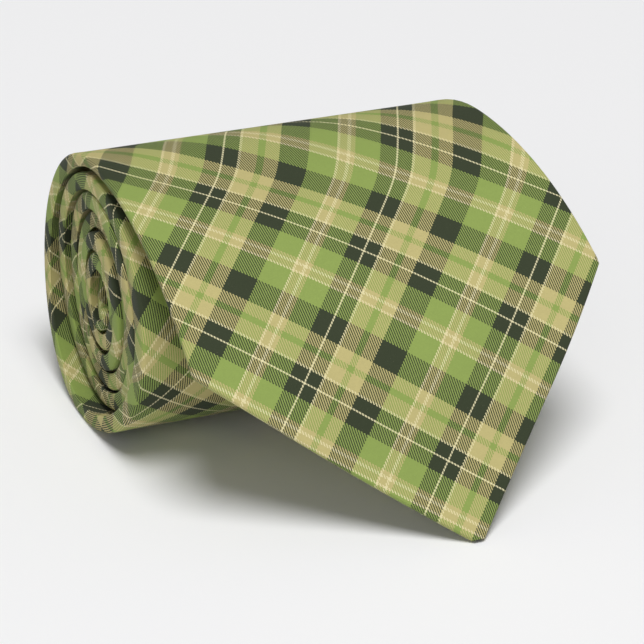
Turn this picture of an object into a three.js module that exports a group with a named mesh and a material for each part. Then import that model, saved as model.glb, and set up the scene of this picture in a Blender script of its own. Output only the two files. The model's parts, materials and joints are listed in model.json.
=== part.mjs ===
// A folded and rolled necktie, in millimetres, +Z up.
//
// The tie is folded in half at its neckband, back to back, and rolled up from that fold.
// The wide blade is outermost: it leaves the top of the roll and slopes down to the floor in front (-Y).
// Every layer follows one path. The path is the middle of the folded pair, and a layer lies at a fixed
// depth from it, so the blade half is on the outer side of the path and the tail half on the inner side.
// A piece is a slice of that path: a start and an end along the cloth, a left and right edge, two depths.

import * as THREE from 'three';

// Widths and lengths of the tie
const BLADE_WIDTH = 101.6;
const BLADE_TIP_HEIGHT = BLADE_WIDTH / 2;      // the point is a right angle
const TAPER = 0.114;                           // width lost per millimetre of length
const NECK_WIDTH = 38;
const TAIL_WIDTH = 50;
const TAIL_TIP_HEIGHT = TAIL_WIDTH / 2;
const TAIL_TAPER = 0.05;
const TIP_BLUNTNESS = 1.4;                     // half the width left at the very point
const SKEW = -0.1;                             // sideways run of the blade per millimetre, off square

// Thicknesses
const CLOTH = 0.3;
const INTERLINING = 0.55;
const GAP = 0.3;                               // air kept between neighbouring layers
const TRIM = 0.3;                              // keeper, labels and tacks, pressed flat
const TIE_THICKNESS = 2 * CLOTH + 2 * GAP + INTERLINING;
const HALF_FOLD = TIE_THICKNESS + GAP + TRIM / 2;
const PITCH = 2 * HALF_FOLD + GAP;             // radius lost per turn

// The roll
const ROLL_RADIUS = 33.7;                      // front of the blade at the top of the roll
const CORE_RADIUS = 7.2;                       // front of the neckband where the tie folds back
const FRONT_BULGE = 0.13;                      // extra reach of the roll towards the front, per radius
const STEP = THREE.MathUtils.degToRad(20);
const FOLD_STEPS = 6;
const TAIL_START_ANGLE = THREE.MathUtils.degToRad(12);

// The sloping flap: a shoulder bend off the top of the roll, then a slight flare down to the point
const SHOULDER_RADIUS = 76;
const SHOULDER_ANGLE = THREE.MathUtils.degToRad(60);
const FLARE_RADIUS = 230;
const FLAP_STEP = 8;

// Folded edges on the back
const HEM = 14;                                // folded edge beside the blade's point, measured across
const TAIL_HEM = 9;
const SEAM_HALF_WIDTH = 0.6;                   // half the slot between the two folded edges
const BLADE_SEAM_START = 98;                   // where the folded edges meet, from the blade's point
const TAIL_SEAM_START = 52;

// Where things lie along the cloth, from the blade's point
const NECK_START = 560;
const NECK_LENGTH = 330;
const KEEPER_AT = 214;
const KEEPER_SIZE = { along: 13, across: 54 };
const MAKER_LABEL_AT = 158;
const MAKER_LABEL_SIZE = { along: 24, across: 56 };
const CARE_LABEL_AT = 246;
const CARE_LABEL_SIZE = { along: 18, across: 22 };
const TACK_SIZE = { along: 2, across: 7 };
const KEEPER_TACK_SIZE = { along: 11, across: 1.6 };
const LABEL_TACK_SIZE = { along: 1.6, across: 1.6 };
const THREAD_WIDTH = 0.5;

// ---------------------------------------------------------------------------------------------
// The path

const leftCornerRun = BLADE_TIP_HEIGHT * (1 + SKEW);
const rightCornerRun = BLADE_TIP_HEIGHT * (1 - SKEW);

const rollHeight = (ROLL_RADIUS - PITCH / 2) * Math.cos(STEP / 2);
const topHeight = rollHeight + ROLL_RADIUS;
const cosShoulder = Math.cos(SHOULDER_ANGLE);
const belowShoulder = topHeight - SHOULDER_RADIUS * (1 - cosShoulder);
const flareDrop = (belowShoulder - TIE_THICKNESS * cosShoulder) / (1 + TIE_THICKNESS / FLARE_RADIUS);
const tipAngle = Math.acos(cosShoulder + flareDrop / FLARE_RADIUS);
const flareLength = FLARE_RADIUS * (SHOULDER_ANGLE - tipAngle);
const flapLength = flareLength + SHOULDER_RADIUS * SHOULDER_ANGLE;

// Front of the flap at a distance from its point: its place and the direction out of its front.
function flapFront(distance) {
  const fromTop = flapLength - distance;
  const bend = Math.min(fromTop / SHOULDER_RADIUS, SHOULDER_ANGLE);
  let y = -SHOULDER_RADIUS * Math.sin(bend);
  let z = topHeight - SHOULDER_RADIUS * (1 - Math.cos(bend));
  let slope = bend;
  const flared = fromTop - SHOULDER_RADIUS * SHOULDER_ANGLE;
  if (flared > 0) {
    slope = SHOULDER_ANGLE - flared / FLARE_RADIUS;
    y -= FLARE_RADIUS * (Math.sin(SHOULDER_ANGLE) - Math.sin(slope));
    z -= FLARE_RADIUS * (Math.cos(slope) - Math.cos(SHOULDER_ANGLE));
  }
  return { y, z, ny: -Math.sin(slope), nz: Math.cos(slope) };
}

// Radius of the blade's front after turning an angle back from the top of the roll.
// The two stations beside the lowest point share one radius, so the roll rests on a flat facet.
function frontRadius(angle) {
  const resting = Math.abs(angle - Math.PI) < STEP;
  return ROLL_RADIUS - PITCH * (resting ? 0.5 : angle / (2 * Math.PI));
}

function middleOfPair(angle) {
  const radius = frontRadius(angle);
  const ny = Math.sin(angle);
  const nz = Math.cos(angle);
  const reach = radius * (1 + FRONT_BULGE * Math.max(-ny, 0));
  return { y: (reach - HALF_FOLD) * ny, z: rollHeight + (radius - HALF_FOLD) * nz, ny, nz };
}

// Sideways run of the middle line per millimetre: the roll is wound with its left edge nearly flush.
function sidewaysSlope(run) {
  const narrowing = bladeHalfWidth(run) > NECK_WIDTH / 2;
  if (run < 200) return SKEW;
  if (run < 290) return -0.016;
  return narrowing ? -0.053 : 0;
}

function bladeHalfWidth(run) {
  return Math.max(NECK_WIDTH, BLADE_WIDTH - TAPER * (run - BLADE_TIP_HEIGHT)) / 2;
}

function rollAngles() {
  const lastAngle = (ROLL_RADIUS - CORE_RADIUS) / PITCH * 2 * Math.PI;
  const angles = [];
  for (let angle = STEP / 2; angle < lastAngle; angle += STEP) {
    angles.push(angle);
  }
  return angles;
}

// Even steps up the flap, with a station at each corner of the blade's point.
function flapDistances() {
  const stops = [0, leftCornerRun, rightCornerRun, flapLength];
  const distances = [0];
  for (let k = 1; k < stops.length; k += 1) {
    const stretch = stops[k] - stops[k - 1];
    const count = Math.ceil(stretch / FLAP_STEP);
    for (let i = 1; i <= count; i += 1) {
      distances.push(stops[k - 1] + stretch * i / count);
    }
  }
  return distances;
}

// Stations along the whole tie, from the blade's point to the tail's point.
function buildStations() {
  const stations = [];
  for (const distance of flapDistances()) {
    const front = flapFront(distance);
    const y = front.y - HALF_FOLD * front.ny;
    const z = front.z - HALF_FOLD * front.nz;
    stations.push({ ...front, y, z, angle: 0 });
  }
  const angles = rollAngles();
  for (const angle of angles) {
    stations.push({ ...middleOfPair(angle), angle });
  }
  const end = stations.at(-1);
  for (let i = 1; i < FOLD_STEPS; i += 1) {
    const turn = Math.PI * i / FOLD_STEPS;
    const ny = end.ny * Math.cos(turn) + end.nz * Math.sin(turn);
    const nz = end.nz * Math.cos(turn) - end.ny * Math.sin(turn);
    stations.push({ ...end, ny, nz });
  }
  const tailAngles = [...angles.reverse(), TAIL_START_ANGLE].filter((a) => a >= TAIL_START_ANGLE);
  for (const angle of tailAngles) {
    const middle = middleOfPair(angle);
    stations.push({ ...middle, ny: -middle.ny, nz: -middle.nz, angle, tail: true });
  }
  measure(stations);
  return stations;
}

// Adds to each station its distance along the cloth, its middle line and its left and right edges.
function measure(stations) {
  const reach = HALF_FOLD - TIE_THICKNESS / 2;
  let run = 0;
  let middle = 0;
  let before = null;
  const middleAtAngle = new Map();
  for (const s of stations) {
    const cy = s.y + s.ny * reach;
    const cz = s.z + s.nz * reach;
    if (before) {
      const length = Math.hypot(cy - before.cy, cz - before.cz);
      middle += sidewaysSlope(run) * length;
      run += length;
    }
    before = { cy, cz };
    s.run = run;
    s.middle = s.tail && middleAtAngle.has(s.angle) ? middleAtAngle.get(s.angle) : middle;
    middleAtAngle.set(s.angle, s.middle);
  }
  const total = run;
  for (const s of stations) {
    Object.assign(s, s.tail ? tailEdges(s, total - s.run) : bladeEdges(s));
  }
}

// The blade's edges. Its point is a right angle turned by the skew, so its corners lie at unlike distances.
function bladeEdges(s) {
  const half = bladeHalfWidth(s.run);
  const left = s.run < leftCornerRun
    ? -TIP_BLUNTNESS - (half - SKEW * leftCornerRun - TIP_BLUNTNESS) * s.run / leftCornerRun
    : s.middle - half;
  const right = s.run < rightCornerRun
    ? TIP_BLUNTNESS + (half + SKEW * rightCornerRun - TIP_BLUNTNESS) * s.run / rightCornerRun
    : s.middle + half;
  const beforeSeam = (BLADE_SEAM_START - s.run) / (BLADE_SEAM_START - rightCornerRun);
  return folded(s, left, right, half + (HEM - half) * THREE.MathUtils.clamp(beforeSeam, 0, 1));
}

function tailEdges(s, fromPoint) {
  const widest = Math.max(NECK_WIDTH, TAIL_WIDTH - TAIL_TAPER * (fromPoint - TAIL_TIP_HEIGHT)) / 2;
  const half = Math.min(widest, TIP_BLUNTNESS + (widest - TIP_BLUNTNESS) * fromPoint / TAIL_TIP_HEIGHT);
  const beforeSeam = (TAIL_SEAM_START - fromPoint) / (TAIL_SEAM_START - TAIL_TIP_HEIGHT);
  const hem = half + (TAIL_HEM - half) * THREE.MathUtils.clamp(beforeSeam, 0, 1);
  return folded(s, s.middle - half, s.middle + half, hem);
}

// Edges, and where the cloth folded over onto the back ends on each side.
function folded(s, left, right, hem) {
  const slotLeft = Math.min(left + hem, s.middle - SEAM_HALF_WIDTH);
  const slotRight = Math.max(right - hem, s.middle + SEAM_HALF_WIDTH);
  return {
    left,
    right,
    slotLeft: Math.max(slotLeft, left + CLOTH + 0.1),
    slotRight: Math.min(slotRight, right - CLOTH - 0.1),
  };
}

const stations = buildStations();
const tieLength = stations.at(-1).run;

function stationAt(run) {
  const next = stations.findIndex((s) => s.run >= run);
  if (next <= 0) return stations[next < 0 ? stations.length - 1 : 0];
  const a = stations[next - 1];
  const b = stations[next];
  const t = (run - a.run) / (b.run - a.run);
  const between = {};
  for (const key of ['y', 'z', 'ny', 'nz', 'middle', 'left', 'right', 'slotLeft', 'slotRight']) {
    between[key] = a[key] + (b[key] - a[key]) * t;
  }
  return between;
}

function slice(from, to) {
  const inside = stations.filter((s) => s.run > from + 0.05 && s.run < to - 0.05);
  return [stationAt(from), ...inside, stationAt(to)];
}

// ---------------------------------------------------------------------------------------------
// Solids

// Joins one ring of [x, depth] points per station into a closed body, with flat ends.
function sweep(path, ringAt) {
  const rings = path.map((s) => ringAt(s));
  const size = rings[0].length;
  const positions = [];
  path.forEach((s, station) => {
    for (const [x, depth] of rings[station]) {
      const out = HALF_FOLD - depth;
      positions.push(x, s.y + s.ny * out, s.z + s.nz * out);
    }
  });
  const faces = [];
  for (let i = 0; i + 1 < path.length; i += 1) {
    for (let k = 0; k < size; k += 1) {
      const a = i * size + k;
      const b = i * size + (k + 1) % size;
      faces.push(a, b, a + size);
      faces.push(b, b + size, a + size);
    }
  }
  const last = (path.length - 1) * size;
  for (const [a, b, c] of capOf(rings[0])) faces.push(a, c, b);
  for (const [a, b, c] of capOf(rings.at(-1))) faces.push(last + a, last + b, last + c);
  const geometry = new THREE.BufferGeometry();
  geometry.setAttribute('position', new THREE.Float32BufferAttribute(positions, 3));
  geometry.setIndex(faces);
  geometry.computeVertexNormals();
  return geometry;
}

function capOf(ring) {
  return THREE.ShapeUtils.triangulateShape(ring.map(([x, depth]) => new THREE.Vector2(x, depth)), []);
}

function rectangle(left, right, top, bottom) {
  return [[left, top], [right, top], [right, bottom], [left, bottom]];
}

// The shell is one cloth wrapped round the tie: front, both side folds, and two edges folded to the back.
function shell(from, to) {
  const back = TIE_THICKNESS;
  return sweep(slice(from, to), ({ left, right, slotLeft, slotRight }) => [
    [left, 0], [right, 0], [right, back], [slotRight, back],
    [slotRight, back - CLOTH], [right - CLOTH, back - CLOTH], [right - CLOTH, CLOTH], [left + CLOTH, CLOTH],
    [left + CLOTH, back - CLOTH], [slotLeft, back - CLOTH], [slotLeft, back], [left, back],
  ]);
}

function interlining(from, to) {
  const inset = CLOTH + GAP;
  return sweep(slice(from, to), (s) => (
    rectangle(s.left + inset, s.right - inset, inset, inset + INTERLINING)
  ));
}

// A lining sheet that fills the opening between the folded edges.
function tipping(from, to) {
  return sweep(slice(from, to), (s) => (
    rectangle(s.slotLeft + GAP, s.slotRight - GAP, TIE_THICKNESS - CLOTH, TIE_THICKNESS)
  ));
}

function seamThread(from, to) {
  const half = THREAD_WIDTH / 2;
  return sweep(slice(from, to), (s) => (
    rectangle(s.middle - half, s.middle + half, TIE_THICKNESS - CLOTH, TIE_THICKNESS)
  ));
}

// A flat patch on the back: centred along the cloth, offset sideways from the middle line.
function patch(run, sideways, { along, across }) {
  const top = TIE_THICKNESS + GAP;
  return sweep(slice(run - along / 2, run + along / 2), (s) => (
    rectangle(s.middle + sideways - across / 2, s.middle + sideways + across / 2, top, top + TRIM)
  ));
}

// ---------------------------------------------------------------------------------------------
// Materials and assembly

const plaidCloth = { color: 0x8c9a57, roughness: 0.85, metalness: 0 };
const woolInterlining = { color: 0xe9e2cf, roughness: 0.95, metalness: 0 };
const liningSatin = { color: 0xb8b27c, roughness: 0.5, metalness: 0 };
const labelSatin = { color: 0xe6dfc4, roughness: 0.55, metalness: 0 };
const thread = { color: 0xd9cf9c, roughness: 0.7, metalness: 0 };

const necktie = new THREE.Group();

function add(name, geometry, look) {
  const mesh = new THREE.Mesh(geometry, new THREE.MeshStandardMaterial(look));
  mesh.name = name;
  necktie.add(mesh);
}

const halfGap = GAP / 2;
const hingeRun = stations.find((s) => s.nz === 1).run;
const neckEnd = NECK_START + NECK_LENGTH;
const interliningInset = 4;

add('blade_shell_flap', shell(0, hingeRun - halfGap), plaidCloth);
add('blade_shell', shell(hingeRun + halfGap, NECK_START - halfGap), plaidCloth);
add('neck_shell', shell(NECK_START + halfGap, neckEnd - halfGap), plaidCloth);
add('tail_shell', shell(neckEnd + halfGap, tieLength), plaidCloth);

add('blade_interlining_flap', interlining(interliningInset, hingeRun - halfGap), woolInterlining);
add('blade_interlining', interlining(hingeRun + halfGap, NECK_START - halfGap), woolInterlining);
add('neck_interlining', interlining(NECK_START + halfGap, neckEnd - halfGap), woolInterlining);
add('tail_interlining', interlining(neckEnd + halfGap, tieLength - interliningInset), woolInterlining);

add('blade_tipping', tipping(HEM + 1, BLADE_SEAM_START - 1), liningSatin);
add('tail_tipping', tipping(tieLength - TAIL_SEAM_START + 3, tieLength - TAIL_HEM - 3), liningSatin);

add('blade_seam_thread', seamThread(hingeRun + halfGap, NECK_START - halfGap), thread);
add('neck_seam_thread', seamThread(NECK_START + halfGap, neckEnd - halfGap), thread);
add('tail_seam_thread', seamThread(neckEnd + halfGap, tieLength - TAIL_SEAM_START - 3), thread);

add('blade_bar_tack', patch(BLADE_SEAM_START + 2, 0, TACK_SIZE), thread);
add('tail_bar_tack', patch(tieLength - TAIL_SEAM_START - 2, 0, TACK_SIZE), thread);

add('keeper_loop', patch(KEEPER_AT, 0, KEEPER_SIZE), plaidCloth);
add('maker_label', patch(MAKER_LABEL_AT, 0, MAKER_LABEL_SIZE), labelSatin);
add('care_label', patch(CARE_LABEL_AT, 0, CARE_LABEL_SIZE), labelSatin);

for (const [side, name] of [[-1, 'left'], [1, 'right']]) {
  const keeperEnd = KEEPER_SIZE.across / 2 + GAP + KEEPER_TACK_SIZE.across / 2;
  add(`keeper_tack_${name}`, patch(KEEPER_AT, side * keeperEnd, KEEPER_TACK_SIZE), thread);
  const labelEnd = MAKER_LABEL_SIZE.across / 2 + GAP + LABEL_TACK_SIZE.across / 2;
  const corner = MAKER_LABEL_SIZE.along / 2 - LABEL_TACK_SIZE.along;
  add(`label_tack_${name}_lower`, patch(MAKER_LABEL_AT - corner, side * labelEnd, LABEL_TACK_SIZE), thread);
  add(`label_tack_${name}_upper`, patch(MAKER_LABEL_AT + corner, side * labelEnd, LABEL_TACK_SIZE), thread);
  const careEnd = CARE_LABEL_SIZE.across / 2 + GAP + LABEL_TACK_SIZE.across / 2;
  add(`care_tack_${name}`, patch(CARE_LABEL_AT, side * careEnd, LABEL_TACK_SIZE), thread);
}

// The origin is on the floor under the middle of the whole tie.
const bounds = new THREE.Box3().setFromObject(necktie);
const centre = bounds.getCenter(new THREE.Vector3());
necktie.position.set(-centre.x, -centre.y, -bounds.min.z);

export default necktie;
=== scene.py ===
"""A rolled plaid necktie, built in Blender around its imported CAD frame.

The cloth follows the path that the CAD layers follow: up the sloping flap from the blade's point, round the
roll to the fold at its core, and back out along the tail. A Strip is a slice of that path. Sweeping a ring of
points along a Strip makes each shell, lining and interlining. Lengths are in millimetres up to the meshes.
"""

import json
import math

import bpy
import numpy as np
from mathutils import Matrix, Vector


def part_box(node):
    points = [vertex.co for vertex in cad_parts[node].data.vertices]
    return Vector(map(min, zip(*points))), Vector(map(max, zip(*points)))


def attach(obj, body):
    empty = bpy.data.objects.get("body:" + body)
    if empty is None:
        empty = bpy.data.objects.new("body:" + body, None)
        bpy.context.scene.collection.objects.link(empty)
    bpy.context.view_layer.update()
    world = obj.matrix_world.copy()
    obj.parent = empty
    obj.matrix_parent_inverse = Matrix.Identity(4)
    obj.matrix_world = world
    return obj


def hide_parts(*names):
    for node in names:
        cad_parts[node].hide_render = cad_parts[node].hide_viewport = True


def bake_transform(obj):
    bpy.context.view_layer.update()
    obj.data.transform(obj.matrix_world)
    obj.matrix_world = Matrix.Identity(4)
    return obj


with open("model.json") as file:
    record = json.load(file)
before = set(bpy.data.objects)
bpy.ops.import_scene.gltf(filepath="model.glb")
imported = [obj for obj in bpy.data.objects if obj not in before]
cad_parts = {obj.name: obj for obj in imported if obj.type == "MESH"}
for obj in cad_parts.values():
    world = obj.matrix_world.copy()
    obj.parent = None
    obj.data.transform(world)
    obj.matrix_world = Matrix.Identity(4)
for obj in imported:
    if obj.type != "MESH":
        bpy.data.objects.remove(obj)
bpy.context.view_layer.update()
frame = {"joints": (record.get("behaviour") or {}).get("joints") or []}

MM = 0.001

# ------------------------------------------------------------------------------------------------
# Sizes of the tie. Those of its path, widths and places along it are the CAD model's.

BLADE_WIDTH = 101.6
BLADE_TIP = BLADE_WIDTH / 2
TAPER = 0.114
NECK_WIDTH = 38.0
TAIL_WIDTH = 50.0
TAIL_TIP = TAIL_WIDTH / 2
TAIL_TAPER = 0.05
SKEW = -0.1

CLOTH = 0.3
THICKNESS = 1.75
HALF_FOLD = 2.2  # from the middle of the folded pair of layers to its outer face
PITCH = 4.7  # each turn's step inwards
ROLL_RADIUS = 33.7
CORE_RADIUS = 7.2
FRONT_BULGE = 0.13  # extra reach of the outer turns towards the front, per radius
BULGE_END = 1.2  # the slack at which the bulge would end
CORE_NARROWING = 0.16  # how much narrower and taller than round the core would be at no radius
CORE_RISE = 0.1
FLOOR_SQUASH = 0.026  # how far the turns are pressed in on the floor, per radius
TAIL_START = math.radians(12)
TAIL_SHIFT = 3.0  # how far the tail lies to the right of the blade it is wound with
UNEVENNESS = 0.5  # the turns' wander from side to side
SWING = 1.7  # how far the blade's point swings to the right
SWING_LENGTH = 60.0  # the stretch from the point that swings

SHOULDER_RADIUS = 76.0
SHOULDER_ANGLE = math.radians(60)
FLARE_RADIUS = 230.0

HEM = 14.0
TAIL_HEM = 9.0
SEAM_HALF = 0.45
BLUNT = 1.5  # half the width of a point's blunt end
SLOT_GAP = 0.1  # least cloth on the back beyond a fold
WIDEST_FOLD = 0.42  # of the width, where a point is too narrow for full folds
SQUARENESS = 0.7  # power that flattens the round of a fold
FOLD_ARC = 0.4  # cloth from an edge to the middle of its fold, per thickness there
SWELL_WIDTH = 7.0  # the cloth is flat this far from a fold
FRONT_SWELL, BACK_SWELL = 0.1, 0.4
SWELL_START = 20.0  # the stretch before the roll where the swelling starts, and after it the opening
OPEN_WIDTH = 5.0  # widest stretch of the blade's left edge that opens beside the tail
OPEN_RECESS = 3.0  # the tail's recess that lets the edge open fully
LAYER_GAP = 2.3  # what the opened edge leaves free of the way to the next turn
BLADE_SEAM = 98.0
TAIL_SEAM = 52.0
NECK_START = 560.0
NECK_END = 890.0
KEEPER_RUN, KEEPER_ALONG, KEEPER_ACROSS = 214.0, 13.0, 54.0
LABEL_RUN, LABEL_ALONG, LABEL_ACROSS = 158.0, 24.0, 56.0
CARE_RUN, CARE_ALONG, CARE_ACROSS = 246.0, 18.0, 22.0
SEWN_GAP = 0.1  # from a shell's end to the seam
CANVAS_GAP = 0.25  # from the shell's inside to the interlining
CANVAS_SEWN_GAP = 0.2  # from an interlining's end to the seam
CANVAS_CUT = 4.0  # from a point to the interlining's end
TIPPING_UNDER = 4.0  # how far the tipping runs under the folded edges
TIPPING_EDGE = 1.5  # least distance from the tipping to an edge of the tie
TIPPING_TOP, TIPPING_BOTTOM = THICKNESS - 0.5, THICKNESS - 0.34
PATCH_TOP, PATCH_BOTTOM = 2.0, 2.25  # depths of a loop or label on the back
TACK_DEPTH = 2.12
KEEPER_TACK, LABEL_TACK = 10.0, 1.6  # lengths of the stitches' rows
STITCH_LENGTH = 7.2
SEAM_THREAD, BAR_THREAD, TACK_THREAD = 0.17, 0.2, 0.13  # radii

# The joint's axis lies on the top line of the roll, which gives the path its height and depth in the frame.
hinge_at = Vector(frame["joints"][0]["pos_m"]) / MM
roll_height = hinge_at.z - ROLL_RADIUS
last_angle = (ROLL_RADIUS - CORE_RADIUS) / PITCH * 2 * math.pi


# ------------------------------------------------------------------------------------------------
# The path of the cloth


def flap_length():
    """Length of the flap's front that brings the back of its point down to the floor."""
    cos_shoulder = math.cos(SHOULDER_ANGLE)
    below = hinge_at.z - SHOULDER_RADIUS * (1 - cos_shoulder)
    drop = (below - THICKNESS * cos_shoulder) / (1 + THICKNESS / FLARE_RADIUS)
    tip_slope = math.acos(cos_shoulder + drop / FLARE_RADIUS)
    return FLARE_RADIUS * (SHOULDER_ANGLE - tip_slope) + SHOULDER_RADIUS * SHOULDER_ANGLE


def flap_middle(distance, length):
    """Middle of the folded pair below the flap's front, at a distance from its point."""
    from_top = length - distance
    bend = np.minimum(from_top / SHOULDER_RADIUS, SHOULDER_ANGLE)
    flared = np.maximum(from_top - SHOULDER_RADIUS * SHOULDER_ANGLE, 0)
    slope = bend - flared / FLARE_RADIUS
    y = -SHOULDER_RADIUS * np.sin(bend) - FLARE_RADIUS * (np.sin(bend) - np.sin(slope))
    z = hinge_at.z - SHOULDER_RADIUS * (1 - np.cos(bend)) - FLARE_RADIUS * (np.cos(slope) - np.cos(bend))
    ny, nz = -np.sin(slope), np.cos(slope)
    return y - HALF_FOLD * ny, z - HALF_FOLD * nz, ny, nz


def roll_middle(angle):
    """Middle of the folded pair after turning back from the top of the roll.

    The outer turns bulge towards the front and rest on the floor, and the core is an upright oval.
    """
    radius = ROLL_RADIUS - PITCH * angle / (2 * math.pi)
    slack = 1 - radius / ROLL_RADIUS
    ny, nz = np.sin(angle), np.cos(angle)
    bulge = FRONT_BULGE * np.maximum(-ny, 0) * (BULGE_END - slack)
    squash = FLOOR_SQUASH * np.maximum(-nz, 0)
    y = (radius * (1 - CORE_NARROWING * slack + bulge) - HALF_FOLD) * ny
    z = roll_height + (radius * (1 + CORE_RISE * slack - squash) - HALF_FOLD) * nz
    return y, z, ny, nz


def blade_half_width(run):
    return np.maximum(NECK_WIDTH, BLADE_WIDTH - TAPER * (run - BLADE_TIP)) / 2


def sideways_slope(run):
    """Sideways run of the middle line per millimetre, so that the roll's left end is nearly flush."""
    knots = [0, 180, 220, 270, 310, 600, 640]
    slopes = [SKEW, SKEW, -0.016, -0.016, -0.053, -0.053, 0.0]
    return np.interp(run, knots, slopes)


def running_total(steps):
    return np.concatenate([[0], np.cumsum(steps)])


def path_length(y, z):
    return running_total(np.hypot(np.diff(y), np.diff(z)))


def wind():
    """Stations of the folded pair from the blade's point to the tail's.

    Returns y, z, the outward direction's y and z, the angle turned, and the number of stations of the flap
    and of the tail.
    """
    length = flap_length()
    distance = np.concatenate([np.linspace(0, 4, 9), np.linspace(4, length, 81)[1:]])
    flap = flap_middle(distance, length)
    inward = np.linspace(0, last_angle, int(last_angle / math.radians(5)))[1:]
    outward = np.linspace(last_angle, TAIL_START, int(last_angle / math.radians(5)))
    turn = np.linspace(0, math.pi, 14)[1:-1]

    y, z, ny, nz = roll_middle(last_angle)
    fold = (
        y + 0 * turn, z + 0 * turn,
        ny * np.cos(turn) + nz * np.sin(turn), nz * np.cos(turn) - ny * np.sin(turn),
    )
    blade, tail = roll_middle(inward), roll_middle(outward)
    tail = (tail[0], tail[1], -tail[2], -tail[3])
    columns = [np.concatenate(column) for column in zip(flap, blade, fold, tail)]
    angle = np.concatenate([0 * distance, inward, last_angle + 0 * turn, outward])
    return *columns, angle, len(distance), len(outward)


def wound_middle(run, step, hinge, angle, wound, on_tail):
    """Middle line from side to side. The turns wander a little, and the tail follows the blade beside it."""
    middle = running_total(sideways_slope(run[1:]) * step)
    wander = UNEVENNESS * (np.sin(run / 19) + 0.7 * np.sin(run / 47 + 2))
    middle = middle + wander * np.clip((run - hinge) / 60, 0, 1)
    beside_blade = np.interp(angle, angle[wound], middle[wound])
    shift = TAIL_SHIFT * np.clip((last_angle - angle) / math.pi, 0, 1)
    return np.where(on_tail, beside_blade + shift, middle)


def build_path():
    """Dense stations along the whole tie, as arrays by name, and the run at the hinge."""
    y, z, ny, nz, angle, flap_count, tail_count = wind()
    on_tail = np.arange(len(y)) >= len(y) - tail_count
    wound = (~on_tail) & (angle > 0)
    reach = HALF_FOLD - THICKNESS / 2
    step = np.hypot(np.diff(y + ny * reach), np.diff(z + nz * reach))
    run = running_total(step)
    hinge = run[flap_count - 1]
    middle = wound_middle(run, step, hinge, angle, wound, on_tail)
    left, right, hem = edges(run, middle, on_tail)

    tail_left = np.interp(angle, angle[on_tail][::-1], left[on_tail][::-1])
    recess = np.where(wound, tail_left - left, 0)
    inner_y, inner_z, _, _ = roll_middle(angle + 2 * math.pi)
    spacing = np.where(wound, np.hypot(y - inner_y, z - inner_z), PITCH)
    cloth = path_length(y + ny * HALF_FOLD, z + nz * HALF_FOLD)
    stations = {"y": y, "z": z, "ny": ny, "nz": nz, "run": run, "cloth": cloth, "middle": middle}
    stations.update({"left": left, "right": right, "hem": hem, "recess": recess, "spacing": spacing})
    return stations, float(hinge)


def edges(run, middle, on_tail):
    """Left and right edges, and how far the cloth folded onto the back reaches from each."""
    half = blade_half_width(run)
    left_corner, right_corner = BLADE_TIP * (1 + SKEW), BLADE_TIP * (1 - SKEW)
    to_left = BLUNT + (half - SKEW * left_corner - BLUNT) * run / left_corner
    to_right = BLUNT + (half + SKEW * right_corner - BLUNT) * run / right_corner
    left = np.where(run < left_corner, -to_left, middle - half)
    right = np.where(run < right_corner, to_right, middle + half)
    to_seam = np.clip((BLADE_SEAM - run) / (BLADE_SEAM - right_corner), 0, 1)
    hem = HEM + (half - HEM) * (1 - to_seam)

    from_point = run[-1] - run
    widest = np.maximum(NECK_WIDTH, TAIL_WIDTH - TAIL_TAPER * (from_point - TAIL_TIP)) / 2
    tail_half = np.minimum(widest, BLUNT + (widest - BLUNT) * from_point / TAIL_TIP)
    to_seam = np.clip((TAIL_SEAM - from_point) / (TAIL_SEAM - TAIL_TIP), 0, 1)
    tail_hem = TAIL_HEM + (tail_half - TAIL_HEM) * (1 - to_seam)
    left = np.where(on_tail, middle - tail_half, left)
    right = np.where(on_tail, middle + tail_half, right)
    return left, right, np.where(on_tail, tail_hem, hem)


path, hinge_run = build_path()
tie_length = path["run"][-1]

# The flap's left side is widest at the hinge, which gives the path its place from side to side.
left_at_hinge = float(np.interp(hinge_run, path["run"], path["left"]))
apex_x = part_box("blade_shell_flap")[0].x / MM - left_at_hinge


class Strip:
    """A slice of the path, with its own start and end."""

    def __init__(self, start, end, step=None):
        run = path["run"]
        if step:
            run = np.arange(start, end, step)
        inside = run[(run > start + 0.01) & (run < end - 0.01)]
        self.run = np.concatenate([[start], inside, [end]])
        for key, values in path.items():
            if key != "run":
                setattr(self, key, np.interp(self.run, path["run"], values))
        self.slot_left = np.minimum(self.left + self.hem, self.middle - SEAM_HALF)
        self.slot_right = np.maximum(self.right - self.hem, self.middle + SEAM_HALF)

    def place(self, x, depth):
        """Places in the frame, in metres, of points at x across and at a depth below the front.

        The blade's point swings a little to the right.
        """
        out = HALF_FOLD - depth
        x = x + SWING * np.maximum(0, 1 - self.run[:, None] / SWING_LENGTH) ** 2
        y = self.y[:, None] + self.ny[:, None] * out + hinge_at.y
        z = self.z[:, None] + self.nz[:, None] * out
        return np.stack([x + apex_x, y, z], axis=-1) * MM


# ------------------------------------------------------------------------------------------------
# Meshes


def mesh_object(name, points, faces, uv):
    """A closed mesh with its faces turned outwards, smooth except at its sharp edges."""
    flat = points.reshape(-1, 3)
    mesh = bpy.data.meshes.new(name)
    mesh.from_pydata(flat.tolist(), [], faces)
    mesh.calc_loop_triangles()
    corners = np.empty(len(mesh.loop_triangles) * 3, np.int32)
    mesh.loop_triangles.foreach_get("vertices", corners)
    a, b, c = (flat[corners[k::3]] for k in range(3))
    if np.sum(a * np.cross(b, c)) < 0:
        mesh.flip_normals()
    layer = mesh.uv_layers.new(name="weave")
    corners = np.empty(len(mesh.loops), np.int32)
    mesh.loops.foreach_get("vertex_index", corners)
    layer.data.foreach_set("uv", uv.reshape(-1, 2)[corners].astype(np.float32).ravel())
    mesh.shade_smooth()
    mesh.set_sharp_from_angle(angle=math.radians(50))
    obj = bpy.data.objects.new(name, mesh)
    bpy.context.scene.collection.objects.link(obj)
    return obj


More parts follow.
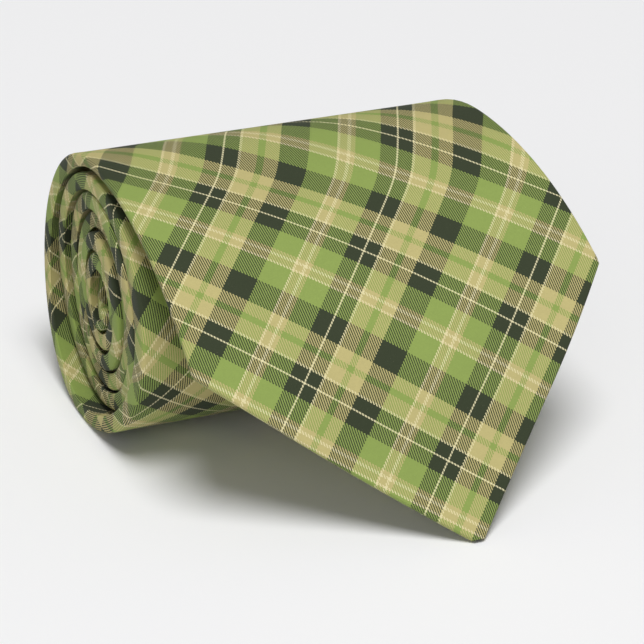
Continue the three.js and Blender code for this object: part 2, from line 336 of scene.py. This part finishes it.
def sweep(name, points, uv):
    """Joins rings of points, one for each station, into a closed tube with a cap on each end."""
    count, size = points.shape[:2]
    faces = [list(range(size)), list(range((count - 1) * size, count * size))]
    faces[0].reverse()
    for i in range(count - 1):
        a, b = i * size, (i + 1) * size
        for k in range(size):
            n = (k + 1) % size
            faces.append((a + k, a + n, b + n, b + k))
    return mesh_object(name, points, faces, uv)


def band(left, right, top, bottom, columns=10):
    """Ring of a flat sheet with round edges. Returns x and depth, with one row for each station."""
    radius = (bottom - top) / 2
    turn = np.linspace(-math.pi / 2, math.pi / 2, 5)[1:-1]
    nose, rise = np.cos(turn) * radius, np.sin(turn) * radius
    across = np.linspace(0, 1, columns)
    inner_left, inner_right = left + radius, right - radius
    width = (inner_right - inner_left)[:, None]
    one = np.ones_like(inner_left)[:, None]
    middle = (top + bottom) / 2
    x = [inner_left[:, None] + width * across, inner_right[:, None] + one * nose]
    x += [inner_left[:, None] + width * across[::-1], inner_left[:, None] - one * nose[::-1]]
    depth = [top * one * (across * 0 + 1), one * (middle + rise)]
    depth += [bottom * one * (across * 0 + 1), one * (middle + rise[::-1])]
    return np.concatenate(x, axis=1), np.concatenate(depth, axis=1)


def front_and_back(strip, x):
    """Depths of the shell's front and back, which swells at its folded edges inside the roll.

    The blade's left edge opens as far as the next turn, where the tail beside it lies further in.
    """
    from_left, from_right = x - strip.left[:, None], strip.right[:, None] - x
    in_roll, recess = (strip.run[:, None] - hinge_run) / SWELL_START, strip.recess[:, None]
    near_fold = np.clip(1 - np.minimum(from_left, from_right) / SWELL_WIDTH, 0, 1) ** 2
    swell = np.clip(in_roll + 1, 0, 1) * near_fold
    open_part = np.clip(1 - from_left / np.clip(recess, 0.5, OPEN_WIDTH), 0, 1) ** 2
    opening = np.clip(in_roll, 0, 1) * np.clip(recess / OPEN_RECESS, 0, 1) * open_part
    opened = opening * (strip.spacing[:, None] - LAYER_GAP)
    return -FRONT_SWELL * swell, THICKNESS + BACK_SWELL * swell + opened


def edge_reach(strip):
    """How far the cloth goes on past its left and right edges to the middle of each fold."""
    front, back = front_and_back(strip, np.stack([strip.left, strip.right], axis=1))
    return FOLD_ARC * (back - front)


def around_fold(x, depth):
    """How far round each point of a fold lies, along the cloth, from 0 at both ends to 1 in the middle."""
    step = np.hypot(np.diff(x, axis=1), np.diff(depth, axis=1))
    half = step.shape[1] // 2
    first = np.cumsum(step[:, :half], axis=1)
    last = np.cumsum(step[:, :half - 1:-1], axis=1)
    end = np.zeros((len(x), 1))
    return np.concatenate([end, first / first[:, -1:], (last / last[:, -1:])[:, -2::-1], end], axis=1)


def shell_section(strip, layer):
    """One side of the shell's cloth, from the left slot round the front to the right slot.

    layer is how far the side lies inside the outer face: 0 for the outer side, CLOTH for the inner side.
    Returns x, depth, the x that the point has on the flat front if its fold is opened up, and the side that
    folded_over asks for.
    """
    half_thick = THICKNESS / 2
    left, right = strip.left[:, None], strip.right[:, None]
    fold = np.minimum(half_thick, (right - left) * WIDEST_FOLD)
    radius = half_thick - layer
    turn = np.linspace(math.pi, 0, 9)
    back, front = np.linspace(0, 1, 6), (1 - np.cos(np.linspace(0, math.pi, 25)[1:-1])) / 2
    slot_left = np.maximum(strip.slot_left[:, None], left + fold + SLOT_GAP)
    slot_right = np.minimum(strip.slot_right[:, None], right - fold - SLOT_GAP)
    left_fold, right_fold = left + fold, right - fold

    rise = np.sign(np.cos(turn)) * np.abs(np.cos(turn)) ** SQUARENESS
    nose = np.abs(np.sin(turn)) ** SQUARENESS * radius * fold / half_thick
    x = [slot_left + (left_fold - slot_left) * back[:-1], left_fold - nose]
    x += [left_fold + (right_fold - left_fold) * front]
    x += [right_fold + nose[:, ::-1], right_fold + (slot_right - right_fold) * back[1:]]
    one = np.ones_like(left)
    bottom, top = THICKNESS - layer, layer
    bend = half_thick - rise * radius
    depth = [one * bottom * (back[:-1] * 0 + 1), one * bend, one * top * (front * 0 + 1)]
    depth += [one * bend[::-1], one * bottom * (back[1:] * 0 + 1)]
    x, depth = np.concatenate(x, axis=1), np.concatenate(depth, axis=1)
    front_depth, back_depth = front_and_back(strip, x)
    depth = front_depth + (back_depth - front_depth) * depth / THICKNESS

    plain, reach, first = x.copy(), edge_reach(strip), len(back) - 1
    left_turn, right_turn = slice(first, first + len(turn)), slice(-first - len(turn), -first)
    bent = around_fold(x[:, left_turn], depth[:, left_turn])
    plain[:, left_turn] = left_fold - (fold + reach[:, :1]) * bent
    bent = around_fold(x[:, right_turn], depth[:, right_turn])
    plain[:, right_turn] = right_fold + (fold + reach[:, 1:]) * bent
    side = [-1 + 0 * back[:-1], np.where(turn > math.pi / 2, -1, 0), 0 * front]
    side += [np.where(turn[::-1] > math.pi / 2, 1, 0), 1 + 0 * back[1:]]
    return x, depth, plain, np.concatenate(side)


# ------------------------------------------------------------------------------------------------
# Plaid: each point of the cloth in repeats along the two thread directions

REPEAT_I, REPEAT_J = 36.46, 35.54  # length of one repeat across each family of threads
ANGLE_I, ANGLE_J = math.radians(46.63), math.radians(44.47)  # of each family to the tie's length
START_I, START_J = 1.371, 1.354  # repeats at the blade's point
STRETCH = 0.37  # share of the pattern that the bend over the roll leaves out
STRETCH_START = 92.0
STRETCH_END = hinge_run + 14
STRETCH_EASE = 6.0
STRETCH_LEAN = 0.35  # how much sooner the stretch starts, per millimetre to the right
STRETCH_LEAN_WIDTH = 40.0
POINT_REACH = 2.5  # how far past a point's slanting edge its fold reaches


def threads(across, along):
    """Cloth position, across and along the tie from the blade's point, counted in repeats of the plaid."""
    turn = math.sin(ANGLE_I) * math.cos(ANGLE_J) + math.cos(ANGLE_I) * math.sin(ANGLE_J)
    a = (across * math.cos(ANGLE_J) - along * math.sin(ANGLE_J)) / turn
    b = (-across * math.cos(ANGLE_I) - along * math.sin(ANGLE_I)) / turn
    return np.stack([START_I + a / REPEAT_I, START_J + b / REPEAT_J], axis=-1)


def drawn_out(across, along):
    """Length along the cut cloth, which the bend over the roll draws out, and sooner on the right."""
    sooner = STRETCH_LEAN * np.clip(across, -STRETCH_LEAN_WIDTH, STRETCH_LEAN_WIDTH)
    from_start = np.minimum(along, STRETCH_END) - STRETCH_START + sooner
    stretched = (from_start + np.hypot(from_start, STRETCH_EASE)) / 2
    return along - STRETCH * stretched


def folded_over(strip, across, along, side):
    """Position on the flat cut of cloth that was folded onto the back: its mirror image in the nearest edge.

    side is -1 where the cloth came round the left edge, 1 where it came round the right, 0 on the front.
    """
    half = (strip.right - strip.left)[:, None] / 2
    reach = edge_reach(strip)
    cloth_end = path["cloth"][-1]
    on_tail = along > cloth_end / 2
    from_point = np.where(on_tail, cloth_end - along, along)
    to_side = half + np.where(side < 0, reach[:, :1], reach[:, 1:]) - side * across
    to_point = (from_point - side * across + POINT_REACH) / math.sqrt(2)
    pointed = to_point < to_side
    jump = math.sqrt(2) * to_point
    mirrored_across = np.where(pointed, across + side * jump, across + 2 * side * to_side)
    mirrored_along = np.where(pointed, along - np.where(on_tail, -jump, jump), along)
    front = side == 0
    return np.where(front, across, mirrored_across), np.where(front, along, mirrored_along)


def plaid_map(strip, x, side, shift=(0.0, 0.0)):
    """UV map of a strip of the plaid cloth, cut on the bias."""
    slope = sideways_slope(strip.run)[:, None]
    lean = np.arctan(slope)
    across = (x - strip.middle[:, None]) * np.cos(lean)
    along = strip.cloth[:, None] / np.cos(lean) + across * slope
    across, along = folded_over(strip, across, along, side)
    return threads(across + shift[0], drawn_out(across, along) + shift[1])


# ------------------------------------------------------------------------------------------------
# Materials


def linear(red, green, blue):
    """An sRGB colour, 0 to 255, as a shader colour."""
    channels = [c / 255 for c in (red, green, blue)]
    return [c / 12.92 if c < 0.04045 else ((c + 0.055) / 1.055) ** 2.4 for c in channels] + [1.0]


DARK = linear(62, 70, 50)
GREEN = linear(154, 175, 93)
TAN = linear(207, 195, 133)
CREAM = linear(240, 229, 178)
BRIGHT = linear(244, 235, 190)

# The plaid's sett: colours and their thread counts, one repeat.
SETT = [
    (BRIGHT, 2), (DARK, 16), (CREAM, 3), (TAN, 18), (GREEN, 8), (TAN, 16), (DARK, 32), (GREEN, 31),
    (CREAM, 3), (TAN, 8), (CREAM, 4), (TAN, 5), (GREEN, 28), (DARK, 18),
]
SETT_THREADS = sum(count for colour, count in SETT)


class Nodes:
    """Short way to add shader nodes to a material and link them."""

    def __init__(self, name):
        self.material = bpy.data.materials.new(name)
        self.material.use_nodes = True
        self.tree = self.material.node_tree
        self.shader = self.tree.nodes["Principled BSDF"]

    def add(self, kind, inputs=(), **settings):
        node = self.tree.nodes.new(kind)
        for key, value in settings.items():
            setattr(node, key, value)
        for key, value in dict(inputs).items():
            if isinstance(value, bpy.types.NodeSocket):
                self.tree.links.new(value, node.inputs[key])
            else:
                node.inputs[key].default_value = value
        return node

    def math(self, operation, a, b=None, c=None):
        values = {k: v for k, v in enumerate((a, b, c)) if v is not None}
        return self.add("ShaderNodeMath", values, operation=operation).outputs[0]

    def mix(self, factor, a, b, blend="MIX"):
        node = self.add("ShaderNodeMix", {0: factor, 6: a, 7: b}, data_type="RGBA", blend_type=blend)
        return node.outputs[2]

    def noise(self, vector, scale, detail=2.0):
        inputs = {"Vector": vector, "Scale": scale, "Detail": detail}
        return self.add("ShaderNodeTexNoise", inputs).outputs["Fac"]

    def between(self, value, low, high):
        """Stretches a 0 to 1 value onto the range low to high."""
        inputs = {0: value, 1: 0.0, 2: 1.0, 3: low, 4: high}
        return self.add("ShaderNodeMapRange", inputs).outputs[0]

    def link(self, output, socket):
        self.tree.links.new(output, self.shader.inputs[socket])

    def constants(self, **values):
        for key, value in values.items():
            self.shader.inputs[key.replace("_", " ")].default_value = value

    def bump(self, height, strength, distance):
        inputs = {"Height": height, "Strength": strength, "Distance": distance}
        self.link(self.add("ShaderNodeBump", inputs).outputs[0], "Normal")


def sett_ramp(n, place):
    """Colour of the thread at a place in the sett, and 1 where it is one of the thick bright threads."""
    ramp = n.add("ShaderNodeValToRGB", {0: place})
    stops = ramp.color_ramp
    stops.interpolation = "CONSTANT"
    at = 0
    for index, (colour, count) in enumerate(SETT):
        where = at / SETT_THREADS
        stop = stops.elements[index] if index < 2 else stops.elements.new(where)
        stop.position = where
        stop.color = [*colour[:3], 1.0 if colour == BRIGHT else 0.0]
        at += count
    return ramp.outputs[0], ramp.outputs[1]


def thread_family(n, coordinate):
    """One family of threads: the thread's number, its colour, whether it is thick, and its round height."""
    count = n.math("MULTIPLY", coordinate, SETT_THREADS)
    number = n.math("FLOOR", count)
    place = n.math("FRACT", n.math("DIVIDE", n.math("ADD", number, 0.5), SETT_THREADS))
    colour, thick = sett_ramp(n, place)
    off_middle = n.math("SUBTRACT", n.math("FRACT", count), 0.5)
    height = n.math("SUBTRACT", 1.0, n.math("MULTIPLY", n.math("MULTIPLY", off_middle, off_middle), 4.0))
    return number, colour, thick, height


def plaid_material(name, brightness):
    """Twill in the plaid: each thread passes over two and under two, one step further on in each row.

    The thick bright threads show a little where they pass under.
    """
    n = Nodes(name)
    uv = n.add("ShaderNodeUVMap", uv_map="weave").outputs[0]
    split = n.add("ShaderNodeSeparateXYZ", {0: uv})
    warp, warp_colour, warp_thick, warp_height = thread_family(n, split.outputs[0])
    weft, weft_colour, weft_thick, weft_height = thread_family(n, n.math("MULTIPLY", split.outputs[1], -1.0))

    step = n.math("MULTIPLY_ADD", n.math("ADD", warp, weft), 1 / 4, 1 / 8)
    weft_share = n.math("GREATER_THAN", n.math("FRACT", step), 0.5)
    thicker = n.math("MULTIPLY", n.math("SUBTRACT", weft_thick, warp_thick), 0.25)
    weft_share = n.math("ADD", weft_share, thicker)
    colour = n.mix(weft_share, warp_colour, weft_colour)

    slub_number = n.math("MULTIPLY_ADD", weft, 1.37, n.math("MULTIPLY", warp, 0.61))
    slub = n.add("ShaderNodeTexWhiteNoise", {"W": slub_number}, noise_dimensions="1D").outputs[0]
    place = n.add("ShaderNodeTexCoord").outputs["Object"]
    broad = n.noise(place, 45.0, 3.0)
    fuzz = n.noise(place, 900.0, 2.0)
    shade = n.math("MULTIPLY", n.between(slub, 0.97, 1.02), n.between(broad, 0.95, 1.05))
    shade = n.math("MULTIPLY", n.math("MULTIPLY", shade, n.between(fuzz, 0.96, 1.04)), brightness)
    tint = n.add("ShaderNodeCombineColor", {0: shade, 1: shade, 2: shade}).outputs[0]
    colour = n.mix(1.0, colour, tint, "MULTIPLY")
    worn = n.math("MULTIPLY", n.math("GREATER_THAN", n.noise(place, 2600.0), 0.72), 0.06)
    n.link(n.mix(worn, colour, linear(214, 210, 176)), "Base Color")

    height = n.mix(weft_share, warp_height, weft_height)
    height = n.math("MULTIPLY_ADD", fuzz, 0.6, height)
    n.bump(height, 0.3, 0.00006)
    n.link(n.between(fuzz, 0.74, 0.9), "Roughness")
    n.constants(Specular_IOR_Level=0.15, Sheen_Weight=0.05, Sheen_Roughness=0.5)
    return n.material


def satin_material(name, colour, other, border=None):
    """Satin lining or label: long floats that shine along the width.

    A label's border is a line woven near to far millimetres from its edges, in a colour.
    """
    n = Nodes(name)
    uv = n.add("ShaderNodeUVMap", uv_map="weave").outputs[0]
    split = n.add("ShaderNodeSeparateXYZ", {0: uv})
    rib = n.math("SINE", n.math("MULTIPLY", split.outputs[1], 2 * math.pi / 0.18))
    place = n.add("ShaderNodeTexCoord").outputs["Object"]
    along_floats = n.add("ShaderNodeMapping", {"Vector": uv, "Scale": (0.4, 9.0, 1.0)}).outputs[0]
    streak = n.noise(along_floats, 2.0, 4.0)
    base = n.mix(n.between(streak, 0.25, 0.75), colour, other)
    if border:
        edge = n.math("MINIMUM", n.math("ABSOLUTE", split.outputs[0]), n.math("ABSOLUTE", split.outputs[1]))
        near, far, border_colour = border
        line = n.math("MULTIPLY", n.math("GREATER_THAN", edge, near), n.math("LESS_THAN", edge, far))
        base = n.mix(line, base, border_colour)
    n.link(n.mix(n.between(rib, 0.0, 0.18), base, linear(250, 246, 226)), "Base Color")
    n.bump(n.math("ADD", n.between(rib, 0.0, 1.0), n.noise(place, 1400.0)), 0.3, 0.00004)
    n.link(n.between(n.noise(place, 300.0), 0.36, 0.5), "Roughness")
    n.constants(Specular_IOR_Level=0.5, Anisotropic=0.4, Sheen_Weight=0.1)
    return n.material


def interlining_material():
    """Brushed wool canvas: a loose plain weave under a felted surface."""
    n = Nodes("brushed_wool_canvas")
    uv = n.add("ShaderNodeUVMap", uv_map="weave").outputs[0]
    split = n.add("ShaderNodeSeparateXYZ", {0: uv})
    yarns = [n.math("SINE", n.math("MULTIPLY", out, 2 * math.pi / 0.9)) for out in split.outputs[:2]]
    weave = n.math("MULTIPLY", yarns[0], yarns[1])
    place = n.add("ShaderNodeTexCoord").outputs["Object"]
    felt = n.noise(place, 1200.0, 5.0)
    base = n.mix(n.between(felt, 0.2, 0.8), linear(214, 205, 182), linear(240, 234, 218))
    flecks = n.math("GREATER_THAN", n.noise(place, 3100.0), 0.7)
    n.link(n.mix(n.math("MULTIPLY", flecks, 0.5), base, linear(176, 160, 128)), "Base Color")
    n.bump(n.math("ADD", n.math("MULTIPLY", weave, 0.4), felt), 0.6, 0.0002)
    n.link(n.between(felt, 0.88, 0.98), "Roughness")
    n.constants(Specular_IOR_Level=0.2, Sheen_Weight=0.4, Sheen_Roughness=0.6)
    return n.material


def thread_material():
    """Two-ply sewing thread: a fine twist with fly-away fibres."""
    n = Nodes("two_ply_thread")
    uv = n.add("ShaderNodeUVMap", uv_map="weave").outputs[0]
    split = n.add("ShaderNodeSeparateXYZ", {0: uv})
    twist = n.math("ADD", n.math("MULTIPLY", split.outputs[1], 2 * math.pi / 0.7), split.outputs[0])
    ply = n.between(n.math("SINE", twist), 0.0, 1.0)
    place = n.add("ShaderNodeTexCoord").outputs["Object"]
    fibre = n.noise(place, 2400.0, 3.0)
    base = n.mix(ply, linear(172, 160, 108), linear(226, 216, 164))
    n.link(n.mix(n.between(fibre, 0.0, 0.3), base, linear(245, 238, 206)), "Base Color")
    n.bump(n.math("ADD", ply, n.math("MULTIPLY", fibre, 0.4)), 0.5, 0.00008)
    n.link(n.between(fibre, 0.5, 0.72), "Roughness")
    n.constants(Specular_IOR_Level=0.4, Sheen_Weight=0.2)
    return n.material


def paper_material():
    """Pale studio floor with a trace of mottling."""
    n = Nodes("studio_floor")
    place = n.add("ShaderNodeTexCoord").outputs["Object"]
    n.link(n.mix(n.noise(place, 3.0), linear(241, 241, 242), linear(244, 244, 245)), "Base Color")
    n.constants(Roughness=0.9, Specular_IOR_Level=0.1)
    return n.material


cloth_look = plaid_material("plaid_twill", 0.82)
lining_look = satin_material("lining_satin", linear(158, 160, 104), linear(178, 176, 124))
label_look = satin_material(
    "label_satin", linear(226, 218, 190), linear(238, 232, 208), (1.6, 2.3, linear(96, 104, 66))
)
canvas_look = interlining_material()
thread_look = thread_material()


# ------------------------------------------------------------------------------------------------
# Pieces


def follow(obj, flap):
    """A piece on the flap keeps its place in the frame with its transform applied and no parent, and any
    other piece stays with the roll.
    """
    if flap:
        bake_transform(obj)
    else:
        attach(obj, "roll")


def finish_piece(obj, look, node, flap=False):
    obj.data.materials.append(look)
    if node:
        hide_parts(node)
    follow(obj, flap)
    return obj


def make_shell(node, start, end, shift, flap):
    """The plaid cloth of one stretch. shift moves its cut on the plaid, across and along."""
    strip = Strip(start, end)
    outer = shell_section(strip, 0.0)
    inner = shell_section(strip, CLOTH)
    x = np.concatenate([outer[0], inner[0][:, ::-1]], axis=1)
    depth = np.concatenate([outer[1], inner[1][:, ::-1]], axis=1)
    plain = np.concatenate([outer[2], outer[2][:, ::-1]], axis=1)
    side = np.concatenate([outer[3], outer[3][::-1]])[None, :]
    obj = sweep(f"{node}_cloth", strip.place(x, depth), plaid_map(strip, plain, side, shift))
    finish_piece(obj, cloth_look, node, flap)
    return obj


def sheet_map(strip, x):
    return np.stack([x - strip.middle[:, None], np.broadcast_to(strip.run[:, None], x.shape)], axis=-1)


def make_band(node, strip, left, right, top, bottom, look, flap=False):
    """A flat sheet such as an interlining or a lining."""
    x, depth = band(left, right, top, bottom)
    obj = sweep(f"{node}_sheet", strip.place(x, depth), sheet_map(strip, x))
    finish_piece(obj, look, node, flap)
    return obj


def make_interlining(node, start, end, flap=False):
    strip = Strip(start, end)
    inset = CLOTH + CANVAS_GAP
    left, right = strip.left + inset, strip.right - inset
    return make_band(node, strip, left, right, inset, THICKNESS - inset, canvas_look, flap)


def make_tipping(node, start, end, flap=False):
    """The lining behind a point runs a little under the folded edges."""
    strip = Strip(start, end)
    under = np.minimum(TIPPING_UNDER, strip.hem - 2)
    left = np.maximum(strip.slot_left - under, strip.left + TIPPING_EDGE)
    right = np.minimum(strip.slot_right + under, strip.right - TIPPING_EDGE)
    return make_band(node, strip, left, right, TIPPING_TOP, TIPPING_BOTTOM, lining_look, flap)


for node, start, end, shift, flap in [
    ("blade_shell_flap", 0.0, hinge_run, (0.0, 0.0), True),
    ("blade_shell", hinge_run, NECK_START - SEWN_GAP, (0.0, 0.0), False),
    ("neck_shell", NECK_START + SEWN_GAP, NECK_END - SEWN_GAP, (7.0, 11.0), False),
    ("tail_shell", NECK_END + SEWN_GAP, tie_length, (-9.0, 4.0), False),
]:
    make_shell(node, start, end, shift, flap)

make_interlining("blade_interlining_flap", CANVAS_CUT, hinge_run - 0.05, flap=True)
make_interlining("blade_interlining", hinge_run + 0.05, NECK_START - CANVAS_SEWN_GAP)
make_interlining("neck_interlining", NECK_START + CANVAS_SEWN_GAP, NECK_END - CANVAS_SEWN_GAP)
make_interlining("tail_interlining", NECK_END + CANVAS_SEWN_GAP, tie_length - CANVAS_CUT)
make_tipping("blade_tipping", HEM + 1, BLADE_SEAM + 3, flap=True)
make_tipping("tail_tipping", tie_length - TAIL_SEAM - 3, tie_length - TAIL_HEM - 3)


# ------------------------------------------------------------------------------------------------
# Threads: each is a round tube along a line on the back of the tie


def tube_along(name, points, radius, sides=6):
    """A round tube along points in the frame, in metres, with a cap on each end."""
    forward = np.gradient(points, axis=0)
    forward /= np.linalg.norm(forward, axis=1, keepdims=True)
    up = np.cross(forward, np.roll(forward, 1, axis=1) + np.array([0.2, 0.1, 0.3]))
    for index in range(1, len(up)):
        carried = up[index - 1] - forward[index] * np.dot(up[index - 1], forward[index])
        up[index] = carried / np.linalg.norm(carried)
    up[0] /= np.linalg.norm(up[0])
    across = np.cross(forward, up)
    turn = np.linspace(0, 2 * math.pi, sides, endpoint=False)[None, :, None]
    rings = points[:, None] + (np.cos(turn) * up[:, None] + np.sin(turn) * across[:, None]) * radius
    along = np.concatenate([[0], np.cumsum(np.linalg.norm(np.diff(points, axis=0), axis=1))]) / MM
    around = np.broadcast_to(turn[:, :, 0], rings.shape[:2])
    uv = np.stack([around, np.broadcast_to(along[:, None], rings.shape[:2])], axis=-1)
    return sweep(name, rings, uv)


def line_on_back(run, x_off, depth):
    """Points in the frame at runs along the tie, offsets from its middle line, and depths."""
    keys = ("y", "z", "ny", "nz", "middle")
    y, z, ny, nz, middle = (np.interp(run, path["run"], path[key]) for key in keys)
    out = HALF_FOLD - depth
    return np.stack([middle + x_off + apex_x, y + ny * out + hinge_at.y, z + nz * out], axis=-1) * MM


def slip_stitch(name, start, end, node=None, flap=False):
    """One hand-sewn thread that crosses the centre seam from side to side."""
    run = np.arange(start, end, 0.9)
    phase = run * 2 * math.pi / STITCH_LENGTH
    swing = np.sin(phase)
    x_off = 1.15 * np.sign(swing) * np.abs(swing) ** 0.6
    points = line_on_back(run, x_off, THICKNESS + 0.08 + 0.08 * np.cos(2 * phase))
    obj = tube_along(f"{name}_stitches", points, SEAM_THREAD * MM)
    return finish_piece(obj, thread_look, node, flap)


def bar_tack(node, run, width, flap=False):
    """Wraps of thread side by side round a short bar that holds the end of the seam."""
    turns = int(width / 0.42)
    t = np.linspace(0, turns, turns * 10)
    runs = run + 0.75 * np.cos(2 * math.pi * t)
    depth = THICKNESS + 0.26 + 0.2 * np.sin(2 * math.pi * t)
    points = line_on_back(runs, (t / turns - 0.5) * width, depth)
    obj = tube_along(f"{node}_wraps", points, BAR_THREAD * MM)
    return finish_piece(obj, thread_look, node, flap)


def edge_tack(node, run, x_off, along):
    """A few short stitches that hold an end of the keeper loop or a corner of a label."""
    turns = max(3, int(along / 0.5))
    t = np.linspace(0, turns, turns * 10)
    runs = run + (t / turns - 0.5) * along
    phase = 2 * math.pi * t
    points = line_on_back(runs, x_off + 0.7 * np.cos(phase), TACK_DEPTH + 0.13 * np.sin(phase))
    obj = tube_along(f"{node}_stitches", points, TACK_THREAD * MM)
    return finish_piece(obj, thread_look, node)


slip_stitch("blade_seam_thread_flap", BLADE_SEAM + 4, hinge_run, flap=True)
slip_stitch("blade_seam_thread", hinge_run + 0.1, NECK_START - 0.5, "blade_seam_thread")
slip_stitch("neck_seam_thread", NECK_START + 0.5, NECK_END - 0.5, "neck_seam_thread")
slip_stitch("tail_seam_thread", NECK_END + 0.5, tie_length - TAIL_SEAM - 3, "tail_seam_thread")
bar_tack("blade_bar_tack", BLADE_SEAM + 2, 7.0, flap=True)
bar_tack("tail_bar_tack", tie_length - TAIL_SEAM - 2, 7.0)


# ------------------------------------------------------------------------------------------------
# Keeper loop and labels


def patch(node, run, along, across, look, plaid=False):
    """A flat piece on the back, centred on the seam."""
    strip = Strip(run - along / 2, run + along / 2, step=1.0)
    left, right = strip.middle - across / 2, strip.middle + across / 2
    x, depth = band(left, right, PATCH_TOP, PATCH_BOTTOM, columns=28)
    if plaid:
        uv = plaid_map(strip, x, np.zeros((1, 1)), (5.0, 3.0))
    else:
        edge_x = np.minimum(x - left[:, None], right[:, None] - x)
        edge_run = np.minimum(strip.run - strip.run[0], strip.run[-1] - strip.run)[:, None]
        uv = np.stack([edge_x, np.broadcast_to(edge_run, x.shape)], axis=-1)
    obj = sweep(f"{node}_sheet", strip.place(x, depth), uv)
    finish_piece(obj, look, node)
    return obj


patch("keeper_loop", KEEPER_RUN, KEEPER_ALONG, KEEPER_ACROSS, cloth_look, plaid=True)
patch("maker_label", LABEL_RUN, LABEL_ALONG, LABEL_ACROSS, label_look)
patch("care_label", CARE_RUN, CARE_ALONG, CARE_ACROSS, label_look)

label_corner = LABEL_ALONG / 2 - LABEL_TACK
for side, word in [(-1, "left"), (1, "right")]:
    label_edge = side * (LABEL_ACROSS / 2 + 0.9)
    edge_tack(f"keeper_tack_{word}", KEEPER_RUN, side * (KEEPER_ACROSS / 2 + 0.9), KEEPER_TACK)
    edge_tack(f"label_tack_{word}_lower", LABEL_RUN - label_corner, label_edge, LABEL_TACK)
    edge_tack(f"label_tack_{word}_upper", LABEL_RUN + label_corner, label_edge, LABEL_TACK)
    edge_tack(f"care_tack_{word}", CARE_RUN, side * (CARE_ACROSS / 2 + 1), LABEL_TACK)


# ------------------------------------------------------------------------------------------------
# Studio


def make_floor():
    mesh = bpy.data.meshes.new("floor")
    mesh.from_pydata([(-6, -6, 0), (6, -6, 0), (6, 6, 0), (-6, 6, 0)], [], [(0, 1, 2, 3)])
    mesh.materials.append(paper_material())
    floor = bpy.data.objects.new("floor", mesh)
    bpy.context.scene.collection.objects.link(floor)


def area_light(name, place, target, size, power):
    data = bpy.data.lights.new(name, "AREA")
    data.shape = "DISK"
    data.size = size
    data.energy = power
    light = bpy.data.objects.new(name, data)
    bpy.context.scene.collection.objects.link(light)
    light.location = place
    light.rotation_euler = (Vector(target) - Vector(place)).to_track_quat("-Z", "Y").to_euler()


def make_lights():
    area_light("overhead_softbox", (-0.5, -2.0, 5.5), (0, 0, 0), 2.75, 281.0)
    area_light("front_fill", (-1.8, -2.4, 1.6), (0, 0, 0.03), 2.0, 12.0)
    world = bpy.data.worlds.new("studio")
    world.use_nodes = True
    world.node_tree.nodes["Background"].inputs[0].default_value = (1.0, 1.0, 1.0, 1.0)
    world.node_tree.nodes["Background"].inputs[1].default_value = 0.22
    bpy.context.scene.world = world


CAMERA_AZIMUTH, CAMERA_ELEVATION, CAMERA_ROLL = (math.radians(a) for a in (-23.17, 27.6, 1.5))
CAMERA_TARGET = Vector((-0.76, 6.62, 25.0)) * MM
CAMERA_DISTANCE = 0.7


def make_camera():
    """A long lens seen from the front left and above, turned a little about its own line of sight."""
    data = bpy.data.cameras.new("camera")
    data.lens = 169.5
    data.sensor_width = 36.0
    data.clip_start = 0.05
    data.clip_end = 20
    camera = bpy.data.objects.new("camera", data)
    bpy.context.scene.collection.objects.link(camera)
    a, e, r = CAMERA_AZIMUTH, CAMERA_ELEVATION, CAMERA_ROLL
    back = Vector((math.sin(a) * math.cos(e), -math.cos(a) * math.cos(e), math.sin(e)))
    level = Vector((math.cos(a), math.sin(a), 0))
    rise = back.cross(level)
    right = level * math.cos(r) + rise * math.sin(r)
    up = rise * math.cos(r) - level * math.sin(r)
    place = CAMERA_TARGET + back * CAMERA_DISTANCE
    camera.matrix_world = Matrix((right, up, back)).transposed().to_4x4()
    camera.location = place
    bpy.context.scene.camera = camera


make_floor()
make_lights()
make_camera()
bpy.context.scene.view_settings.view_transform = "Standard"
